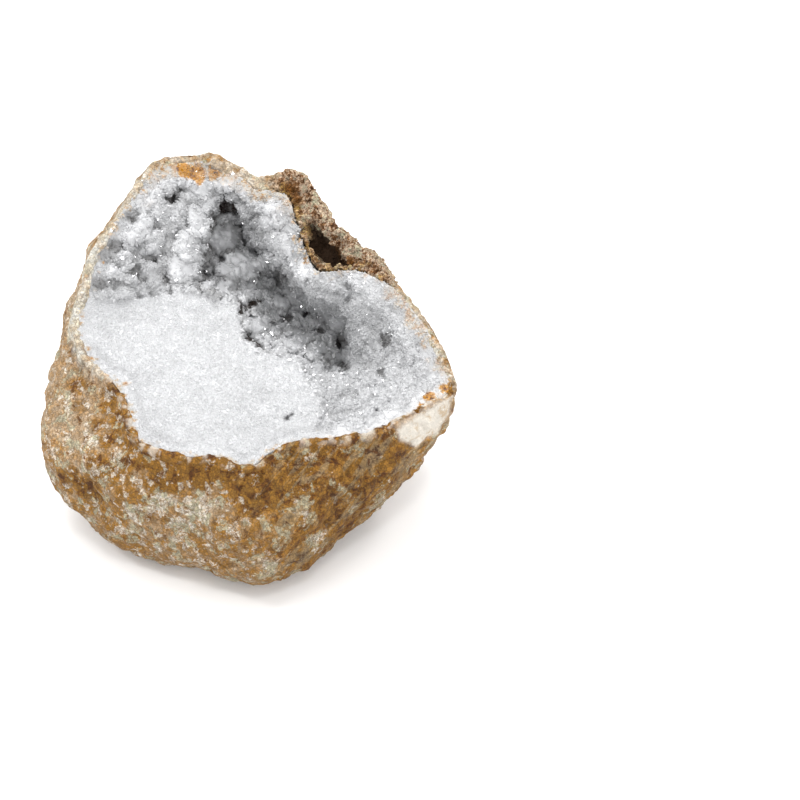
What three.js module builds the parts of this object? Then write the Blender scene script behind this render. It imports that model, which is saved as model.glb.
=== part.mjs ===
// Half of a broken quartz geode: a rough limestone shell, open at the top, lined with one crust of quartz.
// Millimetres, +Z up. The stone rests on a small flat under its belly, and its mouth leans towards -Y.
import * as THREE from "three";
import { mergeVertices } from "three/addons/utils/BufferGeometryUtils.js";
import { ImprovedNoise } from "three/addons/math/ImprovedNoise.js";

// The broken edge, anticlockwise seen from above: where it stands, and how wide the bare rock is there.
const RIM = [
  { at: [55, -23, 45], rock: 2.5 },
  { at: [51, -14, 50], rock: 1.8 },
  { at: [47, -6, 53], rock: 1.8 },
  { at: [40, 5, 56], rock: 2 },
  { at: [34, 14, 58], rock: 5 },
  { at: [25, 21, 61], rock: 12 },
  { at: [19, 28, 62], rock: 10 },
  { at: [17, 36, 64], rock: 12 },
  { at: [12, 43, 66], rock: 8 },
  { at: [3, 41, 64], rock: 4 },
  { at: [-3, 44, 66], rock: 4 },
  { at: [-13, 47, 68], rock: 4 },
  { at: [-24, 43, 69], rock: 3 },
  { at: [-28, 37, 68], rock: 1.4 },
  { at: [-33, 26, 66], rock: 1.4 },
  { at: [-37, 19, 63], rock: 1.4 },
  { at: [-41, 12, 60], rock: 1.4 },
  { at: [-43, 3, 55], rock: 1.4 },
  { at: [-45, -3, 51], rock: 1.4 },
  { at: [-42, -13, 47], rock: 1.4 },
  { at: [-36, -20, 46], rock: 1.4 },
  { at: [-31, -27, 44], rock: 1.4 },
  { at: [-29, -35, 43], rock: 1.4 },
  { at: [-25, -42, 42], rock: 1.4 },
  { at: [-15, -46, 42], rock: 1.4 },
  { at: [-7, -46, 42], rock: 1.4 },
  { at: [2, -48, 40], rock: 1.4 },
  { at: [8, -44, 42], rock: 1.4 },
  { at: [14, -42, 43], rock: 1.4 },
  { at: [23, -39, 42], rock: 1.4 },
  { at: [34, -38, 42.5], rock: 1.8 },
  { at: [46, -31, 44], rock: 2.5 },
];

// Points that the weathered outside passes through, from the shoulders down to the belly.
const FLANKS = [
  [-50, 2, 40], [-52, -3, 33], [-53, -10, 27], [-54, -19, 24], [-54, -25, 21], [-52, -30, 18],
  [-47, -35, 15], [-41, -38, 12], [-33, -43, 9], [-23, -47, 8], [-15, -49, 8], [-9, -52, 9],
  [-2, -56, 10], [6, -58, 10], [12, -56, 10], [17, -51, 10], [22, -46, 12], [28, -42, 16],
  [34, -40, 20], [38, -38, 24], [41, -36, 28], [45, -34, 33], [50, -32, 38], [53, -29, 42],
  [-40, -38, 27], [-30, -48, 25], [-15, -53, 24], [2, -60, 22], [14, -56, 23], [26, -47, 28],
  [53, -15, 38], [50, -4, 40], [47, -8, 26], [42, 0, 15], [36, -20, 11], [42, 10, 42],
  [37, 22, 42], [36, 20, 26], [28, 22, 9], [26, 33, 46], [18, 45, 46], [5, 50, 46],
  [-12, 52, 48], [-4, 50, 30], [12, 45, 26], [-27, 47, 44], [-22, 42, 18], [4, 40, 11],
  [-39, 34, 50], [-41, 30, 35], [-36, 27, 15], [-47, 13, 44], [-49, 11, 30], [-45, 8, 14],
  [-46, -10, 12], [-38, -22, 5], [-34, 6, 3], [-14, 30, 3], [24, -24, 3], [26, 4, 2],
];
// Points under the belly, a little below the ground, so that the ground plane cuts the resting flat there.
const FOOT = [
  [0, 0, -3], [-20, 0, -3], [14, -2, -3], [-2, 18, -3], [-4, -22, -3],
  [-18, -22, -2], [10, -20, -2], [-18, 16, -2], [12, 16, -2], [0, -36, -1],
];

const HEART = new THREE.Vector3(-2, -4, 34); // the outside and the inner wall are drawn round this point
const ROCK_WALL = { side: 5.5, floor: 14 }; // limestone between the weathered outside and the crust
const CRUST_GAP = 0.8;
const THINNEST_CRUST = 2.5;
const RIM_BLEND = 0.75; // share of the way to the rim where surfaces start to bend towards it
// The rock's roughness: the size of its swells and how high they stand.
const SWELLS = [
  { size: 15, height: 1.4 },
  { size: 6, height: 1 },
  { size: 3.1, height: 0.5 },
];
const RIM_ROUGHNESS = 0.4; // share of the swells that is left on the rim
const EDGE_ROUGHNESS = 0.2; // of the bare edge, by its width
const SHARP = 0.002; // how softly the outside blends its anchors
const SOFT = 0.02; // how softly the inner wall does
const FLOOR_SOFTNESS = 8; // how softly the inner wall turns into the floor over the resting flat
const FLOOR_TO_SIDE = { from: 0.4, to: 1.3 }; // radians from straight under the mouth, where the floor ends
const HOLLOW_SLOPE = 0.7; // share of a hollow's radius over which it sinks
const EDGE_ROWS = 3; // rows of faces across the bare broken edge
// Hollows in the broad broken edge at the back: middle, radius and depth.
const EDGE_HOLLOWS = [
  { at: [21, 18, 59], radius: 8, depth: 6 },
  { at: [13, 33, 63], radius: 5, depth: 3 },
  { at: [30, 13, 58], radius: 4, depth: 2 },
];

// The mouth's own frame: "across" is +X, "up" climbs the mouth's slope and "out" is the way the mouth faces.
const MOUTH_FACES = THREE.MathUtils.degToRad(42); // above the horizon
const MOUTH_HEIGHT = 33; // height above the ground of the mouth frame's origin
const MOUTH_OUT = 24; // how far out the mouth's plane lies at the frame's origin
const MOUTH_SLOPE = -0.62; // out per millimetre up

// The hollow, in the mouth's frame.
const HOLLOW_CENTRE = { across: 14, up: 6 };
const BOWL_DEPTH = 26;
const BOWL_FULLNESS = 1.2;
const CAVE_DEPTH = 16;
const CAVE_EDGE = { from: -1, to: 5 }; // how far inside its outline the cave's sides start and end
const CAVE_OUTLINE = [
  [-10.5, 42], [-12.5, 35], [-14, 25], [-11, 17], [-3, 13], [-1, 6], [6, 2], [13, -2], [21, -4],
  [28, -4], [30, 4], [28, 12], [20, 17], [12, 23], [6, 31], [2, 39], [-2, 45], [-7, 46],
];
const MOUND_OUTLINE = [
  [-48, 20], [-38, 16.5], [-27, 19], [-18, 20], [-10, 18.5], [-3.5, 15.5], [-2, 11], [-1, 6.5], [3.5, 3.5],
  [8.5, 2], [14, -1], [19, -8], [20, -16], [21, -30], [-20, -34], [-50, -10],
];
const MOUND_DROP = { near: 1, far: 9 }; // below the mouth's plane, at the near rim and at the crest
const MOUND_CREST = { from: -10, to: 22 }; // up the mouth
const MOUND_STEEPNESS = 4; // fall of its sides per millimetre outwards
const MOUND_SOFTNESS = 2; // how softly it rises from the bowl
const RIM_FADE = 0.15; // share of the way over which cave, lumps and mound fade out at the rim
// Rounded lumps of quartz and dark holes between them: across, up, radius and height or depth.
const LUMPS = [
  [-9.5, 34.5, 5.5, 5], [-2.5, 27.5, 8, 6], [1.5, 13, 5.5, 5], [5.5, 41.5, 7, 4], [8, 30, 7, 4],
  [13, 20.5, 5, 3], [24, 11.5, 3.5, 3], [16, 4, 6, 4], [9, 3, 4, 3], [32, 17.5, 8, 3],
  [39, 9.5, 7, 2.5], [31, 5.5, 5, 3], [40, -4, 8, 2], [48, 1.5, 6, 2], [24, -5, 6, 3],
  [21, -13.5, 7, 2], [-24, 26, 6, 3], [-33, 24, 5, 3], [-30, 35, 6, 3], [-20, 38, 6, 3],
  [-25, 46, 5, 2.5], [-17, 29, 4.5, 3],
];
const HOLES = [
  [-13.3, 24.5, 2.5, 5], [-6.3, 42.6, 3.5, 4], [-1, 17.7, 3, 5], [0, 6.6, 3, 6], [3.7, 20.7, 2, 4],
  [15.3, 13.7, 3, 5], [24.8, 7.5, 3.5, 4], [25.3, -0.6, 4, 4], [37, 6, 2.5, 2.5],
];

const SHELL_ROWS = 22; // rows of faces from pole to rim, on each side of the shell
const CRUST_ROWS = 27; // a multiple of 3, so that the crystals' hexagons meet all round
const CRYSTAL_HEIGHT = { mound: 1.1, hollow: 2.2 };
const SHARE_OF_HEIGHT = { least: 0.4, most: 1.5 }; // from the lowest crystals to the tallest
const CRYSTAL_LEAN = 0.9;
const CALM_RIM = 0.93; // share of the way beyond which the crystals' corners keep to the even net
const STEEPEST_LOOK = 0.3; // where a direction from the heart rises less, the wall's crust has a limit
const CRYSTAL_STRAY = 0.9; // how far a crystal's corners stray from an even net

const ROCK = new THREE.MeshStandardMaterial({ color: 0xb08a58, roughness: 0.95, metalness: 0 });
const QUARTZ = new THREE.MeshStandardMaterial({ color: 0xe9e9ec, roughness: 0.35, metalness: 0 });

const { clamp, lerp, smoothstep } = THREE.MathUtils;
const grain = new ImprovedNoise();

function noiseAt(point, size) {
  return grain.noise(point.x / size + size, point.y / size + size, point.z / size + size);
}

// The same number from 0 to 1 for the same three whole numbers.
function scatter(i, j, k) {
  const wave = Math.sin(i * 127.1 + j * 311.7 + k * 74.7) * 43758.5453;
  return wave - Math.floor(wave);
}

const outAxis = new THREE.Vector3(0, -Math.cos(MOUTH_FACES), Math.sin(MOUTH_FACES));
const upAxis = new THREE.Vector3(0, Math.sin(MOUTH_FACES), Math.cos(MOUTH_FACES));
const mouthOrigin = new THREE.Vector3(0, 0, MOUTH_HEIGHT);

function fromMouth(across, up, out) {
  return new THREE.Vector3(across, 0, 0)
    .addScaledVector(upAxis, up)
    .addScaledVector(outAxis, out)
    .add(mouthOrigin);
}

function toMouth(point) {
  const offset = point.clone().sub(mouthOrigin);
  return { across: offset.x, up: offset.dot(upAxis), out: offset.dot(outAxis) };
}

const vector = (xyz) => new THREE.Vector3(...xyz);
const rimLine = new THREE.CatmullRomCurve3(RIM.map((station) => vector(station.at)), true, "catmullrom", 0.5);
const rimRock = new THREE.CatmullRomCurve3(RIM.map((station) => new THREE.Vector3(station.rock, 0, 0)), true);
rimLine.arcLengthDivisions = 800;

function rimAt(turn) {
  return rimLine.getPointAt(turn);
}

function rockWidthAt(turn) {
  return rimRock.getPoint(rimLine.getUtoTmapping(turn)).x;
}

const anchors = [...RIM.map((station) => station.at), ...FLANKS, ...FOOT].map((xyz) => {
  const offset = vector(xyz).sub(HEART);
  return { reach: offset.length(), direction: offset.normalize() };
});

// How far the outside stands from the heart in a direction. Nearby anchors count most.
function stoneReach(direction, softness) {
  let total = 0;
  let weights = 0;
  for (const anchor of anchors) {
    const weight = (1 - direction.dot(anchor.direction) + softness) ** -2;
    total += weight * anchor.reach;
    weights += weight;
  }
  return total / weights;
}

// How far the ground is from the heart in a direction.
function groundReach(direction) {
  return direction.z < -0.1 ? HEART.z / -direction.z : Infinity;
}

function aboveGround(reach, direction) {
  return Math.min(reach, groundReach(direction));
}

function fromHeart(direction, reach) {
  return HEART.clone().addScaledVector(direction, reach);
}

const rimDirections = new THREE.Vector3();
for (let i = 0; i < 60; i += 1) rimDirections.add(rimAt(i / 60).sub(HEART).normalize());
const belowHeart = rimDirections.normalize().negate();

// A direction from the heart, from straight under the mouth (0) to a point on the rim (1).
function directionTowards(rimPoint, share) {
  const end = rimPoint.clone().sub(HEART).normalize();
  const axis = belowHeart.clone().cross(end).normalize();
  return belowHeart.clone().applyAxisAngle(axis, belowHeart.angleTo(end) * share);
}

function outsidePoint(turn, share) {
  const rim = rimAt(turn);
  const direction = directionTowards(rim, share);
  const rimError = rim.distanceTo(HEART) - stoneReach(directionTowards(rim, 1), SHARP);
  const smooth = stoneReach(direction, SHARP) + rimError * smoothstep(share, RIM_BLEND, 1);
  const point = fromHeart(direction, smooth);
  const swell = SWELLS.reduce((sum, { size, height }) => sum + height * noiseAt(point, size), 0);
  const rough = share === 1 ? swell * RIM_ROUGHNESS : swell;
  return fromHeart(direction, aboveGround(smooth + rough, direction));
}

// The bare broken edge: inwards from the rim by a share of the rock's width there.
function edgePoint(turn, share) {
  const rim = rimAt(turn);
  const direction = directionTowards(rim, 1);
  const width = rockWidthAt(turn);
  const point = fromHeart(direction, rim.distanceTo(HEART) - width * share);
  if (share === 1) return point;
  let dent = EDGE_ROUGHNESS * width * noiseAt(point, 4);
  for (const hollow of EDGE_HOLLOWS) {
    const near = point.distanceTo(vector(hollow.at)) / hollow.radius;
    dent += hollow.depth * smoothstep(1 - near, 0, HOLLOW_SLOPE);
  }
  return point.addScaledVector(outAxis, -dent);
}

// The smooth wall between rock and crust. A margin moves it inwards.
function innerWallPoint(turn, share, margin) {
  const inner = edgePoint(turn, 1);
  const direction = directionTowards(inner, share);
  const atEdge = inner.distanceTo(HEART);
  const deep = wallReach(direction);
  const blend = smoothstep(share, RIM_BLEND, 1);
  return fromHeart(direction, lerp(deep, atEdge, blend) - margin);
}

function wallReach(direction) {
  const reach = smoothMin(stoneReach(direction, SOFT), groundReach(direction), FLOOR_SOFTNESS);
  const aside = smoothstep(direction.angleTo(belowHeart), FLOOR_TO_SIDE.from, FLOOR_TO_SIDE.to);
  return reach - lerp(ROCK_WALL.floor, ROCK_WALL.side, aside);
}

// Signed distance from an outline: positive inside.
function insideBy(outline, across, up) {
  let nearest = Infinity;
  let inside = false;
  outline.forEach(([x1, y1], i) => {
    const [x2, y2] = outline[(i + 1) % outline.length];
    const along = clamp(
      ((across - x1) * (x2 - x1) + (up - y1) * (y2 - y1)) / ((x2 - x1) ** 2 + (y2 - y1) ** 2), 0, 1,
    );
    nearest = Math.min(nearest, Math.hypot(across - lerp(x1, x2, along), up - lerp(y1, y2, along)));
    if (y1 > up !== y2 > up && across < x1 + ((up - y1) / (y2 - y1)) * (x2 - x1)) inside = !inside;
  });
  return inside ? nearest : -nearest;
}

function bumps(list, across, up) {
  let height = 0;
  for (const [x, y, radius, rise] of list) {
    const near = 1 - ((across - x) ** 2 + (up - y) ** 2) / radius ** 2;
    if (near > 0) height = Math.max(height, rise * Math.sqrt(near));
  }
  return height;
}

function smoothMax(a, b, softness) {
  const share = clamp(0.5 + (0.5 * (a - b)) / softness, 0, 1);
  return lerp(b, a, share) + softness * share * (1 - share);
}

function smoothMin(a, b, softness) {
  return b === Infinity ? a : -smoothMax(-a, -b, softness);
}

// How far out the quartz stands at a place in the mouth. The share runs from the hollow's centre to its rim.
function quartzOut(across, up, share) {
  const plane = MOUTH_OUT + MOUTH_SLOPE * up;
  const bowl = BOWL_DEPTH * (1 - share ** 2) ** BOWL_FULLNESS;
  const cave = CAVE_DEPTH * smoothstep(insideBy(CAVE_OUTLINE, across, up), CAVE_EDGE.from, CAVE_EDGE.to);
  const fade = smoothstep(1 - share, 0, RIM_FADE);
  const detail = bumps(LUMPS, across, up) - bumps(HOLES, across, up);
  const floor = plane - bowl - (cave - detail) * fade;
  const drop = lerp(MOUND_DROP.near, MOUND_DROP.far, smoothstep(up, MOUND_CREST.from, MOUND_CREST.to));
  const outside = Math.max(-insideBy(MOUND_OUTLINE, across, up), 0);
  return smoothMax(floor, plane - drop * fade - MOUND_STEEPNESS * outside, MOUND_SOFTNESS);
}

function quartzPoint(turn, share) {
  const rim = toMouth(innerWallPoint(turn, 1, CRUST_GAP));
  const stray = share < CALM_RIM ? CRYSTAL_STRAY : 0;
  const across = lerp(HOLLOW_CENTRE.across, rim.across, share) + stray * (scatter(turn, share, 1) - 0.5);
  const up = lerp(HOLLOW_CENTRE.up, rim.up, share) + stray * (scatter(turn, share, 2) - 0.5);
  const edge = smoothstep(share, RIM_BLEND, 1);
  const rimStep = rim.out - (MOUTH_OUT + MOUTH_SLOPE * rim.up);
  const point = fromMouth(across, up, quartzOut(across, up, share) + rimStep * edge);
  const offset = point.clone().sub(HEART);
  const direction = offset.clone().normalize();
  const limit = wallReach(direction) - THINNEST_CRUST;
  const facesWall = share < 1 && direction.z < STEEPEST_LOOK;
  if (facesWall && offset.length() > limit) return fromHeart(direction, limit);
  return point;
}

// A closed skin round an octahedral net: its lower half becomes the back and its upper half the face.
// They meet on the rim. Each vertex is placed by its turn round the rim and its row from the pole to the rim.
function closedSkin(rows, backPoint, facePoint) {
  const net = new THREE.OctahedronGeometry(1, rows - 1);
  net.deleteAttribute("normal");
  net.deleteAttribute("uv");
  const position = net.getAttribute("position");
  const netPlace = position.clone();
  net.setAttribute("netPlace", netPlace);
  const corner = new THREE.Vector3();
  for (let i = 0; i < position.count; i += 1) {
    corner.fromBufferAttribute(position, i);
    const span = Math.abs(corner.x) + Math.abs(corner.y) + Math.abs(corner.z);
    const [x, y, z] = corner.toArray().map((value) => Math.round((value / span) * rows));
    const row = rows - Math.abs(z);
    const quarter = x > 0 && y >= 0 ? 0 : x <= 0 && y > 0 ? 1 : x < 0 && y <= 0 ? 2 : 3;
    const step = quarter % 2 === 0 ? Math.abs(y) : Math.abs(x);
    const turn = row === 0 ? 0 : (quarter + step / row) / 4;
    const place = z > 0 ? facePoint : backPoint;
    const point = place(turn, row);
    position.setXYZ(i, point.x, point.y, point.z);
    netPlace.setXYZ(i, x, y, z);
  }
  return mergeVertices(net, 1e-3);
}

// Lifts every third vertex of the face, so that six flat faces meet in a leaning point: a crust of crystals.
function growCrystals(skin) {
  skin.computeVertexNormals();
  const normals = skin.getAttribute("normal");
  const position = skin.getAttribute("position");
  const netPlace = skin.getAttribute("netPlace");
  const point = new THREE.Vector3();
  const normal = new THREE.Vector3();
  for (let i = 0; i < position.count; i += 1) {
    const [x, y, z] = [netPlace.getX(i), netPlace.getY(i), netPlace.getZ(i)];
    if (z <= 1 || (Math.abs(x) - Math.abs(y)) % 3 !== 0) continue;
    point.fromBufferAttribute(position, i);
    normal.fromBufferAttribute(normals, i);
    const mouth = toMouth(point);
    const onMound = insideBy(MOUND_OUTLINE, mouth.across, mouth.up) > 0;
    const tallest = onMound ? CRYSTAL_HEIGHT.mound : CRYSTAL_HEIGHT.hollow;
    const height = tallest * lerp(SHARE_OF_HEIGHT.least, SHARE_OF_HEIGHT.most, scatter(x, y, z));
    point.addScaledVector(normal, height);
    point.x += CRYSTAL_LEAN * (scatter(y, z, x) - 0.5);
    point.z += CRYSTAL_LEAN * (scatter(z, x, y) - 0.5);
    position.setXYZ(i, point.x, point.y, point.z);
  }
  return skin;
}

function rockShell() {
  const edgeRow = SHELL_ROWS - EDGE_ROWS;
  return closedSkin(
    SHELL_ROWS,
    (turn, row) => outsidePoint(turn, row / SHELL_ROWS),
    (turn, row) =>
      row > edgeRow
        ? edgePoint(turn, (SHELL_ROWS - row) / EDGE_ROWS)
        : innerWallPoint(turn, row / edgeRow, 0),
  );
}

function quartzCrust() {
  const skin = closedSkin(
    CRUST_ROWS,
    (turn, row) => innerWallPoint(turn, row / CRUST_ROWS, CRUST_GAP),
    (turn, row) => quartzPoint(turn, row / CRUST_ROWS),
  );
  return growCrystals(skin);
}

function namedMesh(name, geometry, material) {
  geometry.deleteAttribute("netPlace");
  geometry.deleteAttribute("normal");
  const mesh = new THREE.Mesh(geometry, material);
  mesh.name = name;
  return mesh;
}

const geode = new THREE.Group();
geode.add(namedMesh("rock_shell", rockShell(), ROCK), namedMesh("quartz_crust", quartzCrust(), QUARTZ));

// The origin is under the middle of the whole stone, on the ground.
const extent = new THREE.Box3().setFromObject(geode);
const middle = extent.getCenter(new THREE.Vector3());
geode.children.forEach((mesh) => mesh.position.set(-middle.x, -middle.y, -extent.min.z));

export default geode;
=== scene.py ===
import math

import bpy
import numpy as np
from bpy.props import FloatProperty, FloatVectorProperty, IntProperty, PointerProperty
from mathutils import Matrix, Vector, noise
from mathutils.bvhtree import BVHTree
from mathutils.kdtree import KDTree


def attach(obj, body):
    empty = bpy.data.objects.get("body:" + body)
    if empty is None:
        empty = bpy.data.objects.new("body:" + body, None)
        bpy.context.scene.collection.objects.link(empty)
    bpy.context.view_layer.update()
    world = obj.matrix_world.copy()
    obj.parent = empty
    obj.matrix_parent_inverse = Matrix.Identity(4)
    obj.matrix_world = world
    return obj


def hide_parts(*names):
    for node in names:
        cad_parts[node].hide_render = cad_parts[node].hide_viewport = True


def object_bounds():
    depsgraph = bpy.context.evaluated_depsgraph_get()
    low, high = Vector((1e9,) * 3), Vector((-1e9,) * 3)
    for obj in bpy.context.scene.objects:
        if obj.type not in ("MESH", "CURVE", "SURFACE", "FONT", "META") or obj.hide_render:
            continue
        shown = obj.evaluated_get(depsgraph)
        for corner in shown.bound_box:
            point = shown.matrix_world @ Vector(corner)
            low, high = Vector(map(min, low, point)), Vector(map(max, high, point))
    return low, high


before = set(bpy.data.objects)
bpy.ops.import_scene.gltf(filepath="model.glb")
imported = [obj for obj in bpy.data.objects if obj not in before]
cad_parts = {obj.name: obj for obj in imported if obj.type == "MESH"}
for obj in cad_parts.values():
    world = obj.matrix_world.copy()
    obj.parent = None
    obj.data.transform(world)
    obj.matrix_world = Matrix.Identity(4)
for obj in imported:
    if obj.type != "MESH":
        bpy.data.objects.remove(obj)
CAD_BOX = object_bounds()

bl_info = {
    "name": "Geode half",
    "version": (1, 0, 0),
    "blender": (4, 5, 0),
    "location": "View3D > Sidebar > Geode",
    "description": "Dresses the geode half in weathered limestone and quartz crystals",
    "category": "Object",
}

MM = 0.001
# The small lamps that the crystals mirror, and where they hang, in metres.
SPARK_LAMPS = {
    "spark_left": (-0.55, -0.1, 0.75),
    "spark_right": (0.5, 0.2, 0.8),
    "spark_front": (0.1, -0.45, 0.9),
    "spark_back": (-0.2, 0.6, 0.7),
}

# The mouth's own frame, as in the solids: across is +X, up climbs the mouth's slope, out is the way it
# faces. Its origin is in millimetres.
MOUTH_FACES = math.radians(42)
MOUTH_ORIGIN = np.array([-0.3, 4.16, 33.0])
MOUTH_AXES = np.array([
    [1, 0, 0],
    [0, math.sin(MOUTH_FACES), math.cos(MOUTH_FACES)],
    [0, -math.cos(MOUTH_FACES), math.sin(MOUTH_FACES)],
])
# The middle of the hollow, in millimetres. What looks away from it looks outwards.
HEART = np.array([-2.3, 0.2, 34.0])
# A face or a point of one solid lies against the other if it is nearer than this, in millimetres.
FACES_TOUCH = 1.35
POINTS_TOUCH = 1.1
# Faces that the relief would stretch past this, in millimetres, are made finer.
LONGEST_EDGE = 2
# Where the camera looks, from the mouth's origin, in metres.
CAMERA_ACROSS = 0.0402
CAMERA_UP = -0.0093

# The rock's bedding shows as bands on the near right side, drawn out along the first way.
BEDDING_ALONG = (0.643, 0.513, 0.569)
BEDDING_ASIDE = (0.766, -0.43, -0.478)
BEDDING_STRETCH = 0.2

# Outlines in the mouth's frame, in millimetres across and up.
CAVE = [
    (-10.5, 41.5), (-12.7, 34.5), (-13.6, 29.5), (-14.9, 24), (-13.9, 20), (-9, 16), (-4, 12), (-1, 3),
    (8, 0), (14, -2.5), (20, -3.5), (26, -3.5), (28, 6.5), (26.6, 12.5), (18.7, 16), (14, 20.5),
    (8.3, 25), (4.4, 30), (0.5, 35.5), (-1, 41), (-2.5, 44.5), (-7.2, 45),
]
MOUND = [
    (-48, 20), (-41, 20), (-38.5, 16.6), (-32, 18), (-26.9, 19.1), (-19.9, 20.3), (-15.1, 19.3),
    (-10.8, 18.6), (-4.7, 16.2), (-2.8, 14), (-1.8, 10.8), (-1.2, 7), (2.8, 3.5), (8.1, 2.5),
    (13.4, -0.7), (16.5, -5.2), (19.7, -9.3), (19.3, -15.7), (22, -20), (22, -30), (-20, -34), (-50, -10),
]
# The plane that the mound's top follows: how far out it lies at the origin, and how it runs with up.
MOUND_OUT = 24
MOUND_SLOPE = -0.62
# The mound's crest lies below that plane, by little near the camera and by more at the back.
MOUND_DROP_NEAR = 0.7
MOUND_DROP_FAR = 8.6
MOUND_DROP_FROM = -9
MOUND_DROP_TO = 23
# From the crest the mound falls into the cave, this steeply and at most this far.
MOUND_STEEPNESS = 4
CLIFF_HEIGHT = 20
# The pale face of rock at the right end of the mouth.
CREAM_FACE = [
    (39, -16.5), (44, -13.5), (51, -9.5), (54, -8), (53, -13), (50, -18), (44, -21), (40, -19.5),
]
# Dark rusty spots on the wide broken edge: across, up and radius.
BURNT_EDGE = [(10.7, 47.5, 2.4), (12.6, 44.4, 1.8), (22, 30.5, 1.6), (27, 27.5, 1.6)]
# The open hollow in the wide broken edge.
EDGE_HOLLOW = [
    (14.6, 38), (16.4, 31.5), (19, 27.6), (22.5, 25.8), (27, 25.6), (25.4, 28.6), (21, 33), (17, 38.5),
]
# Rusty spots on the quartz along the rim: across, up and radius.
RUSTY_QUARTZ = [
    (-18.2, 52.4, 1.9), (-16.4, 51.6, 1.3), (-14.2, 50.6, 1.9), (-13.6, 49, 1), (-9.6, 51.2, 1.7),
    (-7.4, 51.4, 1.2), (0.8, 49.6, 1.6), (3.2, 47.6, 1.2), (47.5, -8.5, 1.4), (45, -11, 1),
    (51, -6.4, 1.4),
]
# Pits and recesses in the quartz: across, up, radius, depth, how much shade is painted in them and how
# brown, which is partly stain and partly painted shade.
PITS = [
    (-7.6, 43.6, 2.4, 5, 1.0, 0.9), (-4.4, 42.8, 2.2, 4, 0.9, 0.9), (-12.9, 24.6, 1.5, 6, 1.0, 0.8),
    (-11.6, 22.4, 1.1, 4, 0.9, 0.7), (-0.1, 16.1, 1.9, 6, 1.0, 0.9), (1.7, 17.4, 1.6, 4, 0.8, 0.9),
    (3.9, 21, 1.5, 4, 0.8, 0.9), (7, 23.4, 2.4, 3, 0.6, 0.3), (14.9, 14.1, 1.6, 5, 1.0, 0.8),
    (9.2, 13, 2.2, 3, 0.6, 0.7), (24, 6.6, 2.6, 3.5, 0.7, 0.7), (25.5, -0.6, 2.4, 4, 0.7, 0.3),
    (18, 9.5, 1.8, 3, 0.6, 0.3), (20.5, 1.5, 2.2, 2, 0.4, 0.2), (-2, 34.2, 1.6, 3, 0.8, 0.3),
    (-8.4, 29, 1.4, 2.5, 0.7, 0.2), (-4.6, 20.5, 1.6, 2, 0.4, 0.2), (-34, 30, 2.4, 2.2, 0.5, 0.2),
    (-21.6, 44.3, 2.8, 3, 0.55, 0.3), (-26.2, 28.2, 2.4, 2.2, 0.5, 0.2), (-38, 20.8, 2.4, 2, 0.4, 0.1),
    (-22, 22.4, 2.2, 1.6, 0.4, 0.2), (-30, 39, 2.2, 1.8, 0.4, 0.1), (-18.5, 47, 2, 2, 0.45, 0.1),
    (-29.5, 24.5, 2, 1.6, 0.4, 0.1), (36.5, 6.5, 2.2, 2, 0.5, 0.2), (35.7, -2.2, 1.8, 2, 0.45, 0.3),
    (34.1, -12, 1, 1.5, 0.5, 0.3), (11.4, -14.1, 1, 2, 0.6, 0.2), (12.6, -13.2, 0.8, 1.5, 0.45, 0.1),
    (21.6, -18, 3.2, 1, 0.25, 0.1), (27.2, 17.1, 1.5, 1.5, 0.35, 0), (26.6, 20.5, 1.2, 1.2, 0.3, 0),
]
# Big rounded lumps of quartz: across, up, half width, half height, how far each stands out and how pale,
# which is partly whiter quartz and partly painted highlight.
LUMPS = [
    (-8.2, 34.8, 5, 4.4, 5, 0.0), (-3.2, 27.2, 7.4, 4.6, 5.5, 0.38), (3.4, 28, 3.6, 3.2, 4, 0.3),
    (2.1, 11.2, 3.6, 3.3, 5, 0.24), (23.3, 11.6, 3.2, 2.3, 3, 0.25), (12, 6.8, 4.6, 3.2, 2.5, 0.12),
    (5.9, 40.5, 5, 4.4, 3, 0.25), (8.5, 31, 4.2, 4.6, 2.5, 0.25), (13.5, 25, 4.8, 3.6, 2, 0.25),
    (-6.5, 20.8, 3.4, 2.4, 2.5, 0.2), (7.5, 17.5, 2.8, 2.2, 2.5, 0.2), (17.5, 4.5, 2.8, 2.4, 2.5, 0.15),
    (20, 13.6, 2.4, 1.8, 2, 0.2), (6.6, 9.6, 2.6, 2.2, 2, 0.15), (-28.6, 35.5, 4.6, 3.8, 2.5, 0.2),
    (-36.5, 35, 3.2, 3.8, 2, 0.15), (-33.5, 24, 3.4, 2.8, 2, 0.15), (-16, 32, 3.4, 4.6, 3.5, 0.5),
    (-17.8, 25.6, 3.8, 4, 2.5, 0.5), (-13.6, 38, 3.2, 3.8, 3.2, 0.5), (-10.6, 42.6, 2.8, 2.6, 2.4, 0.45),
    (-24, 33, 3.2, 3.6, 2, 0.2), (-5.4, 48.6, 4.4, 2.6, 1.6, 0.25), (-13.2, 47.4, 2.6, 2.2, 1.6, 0.35),
]
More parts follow.
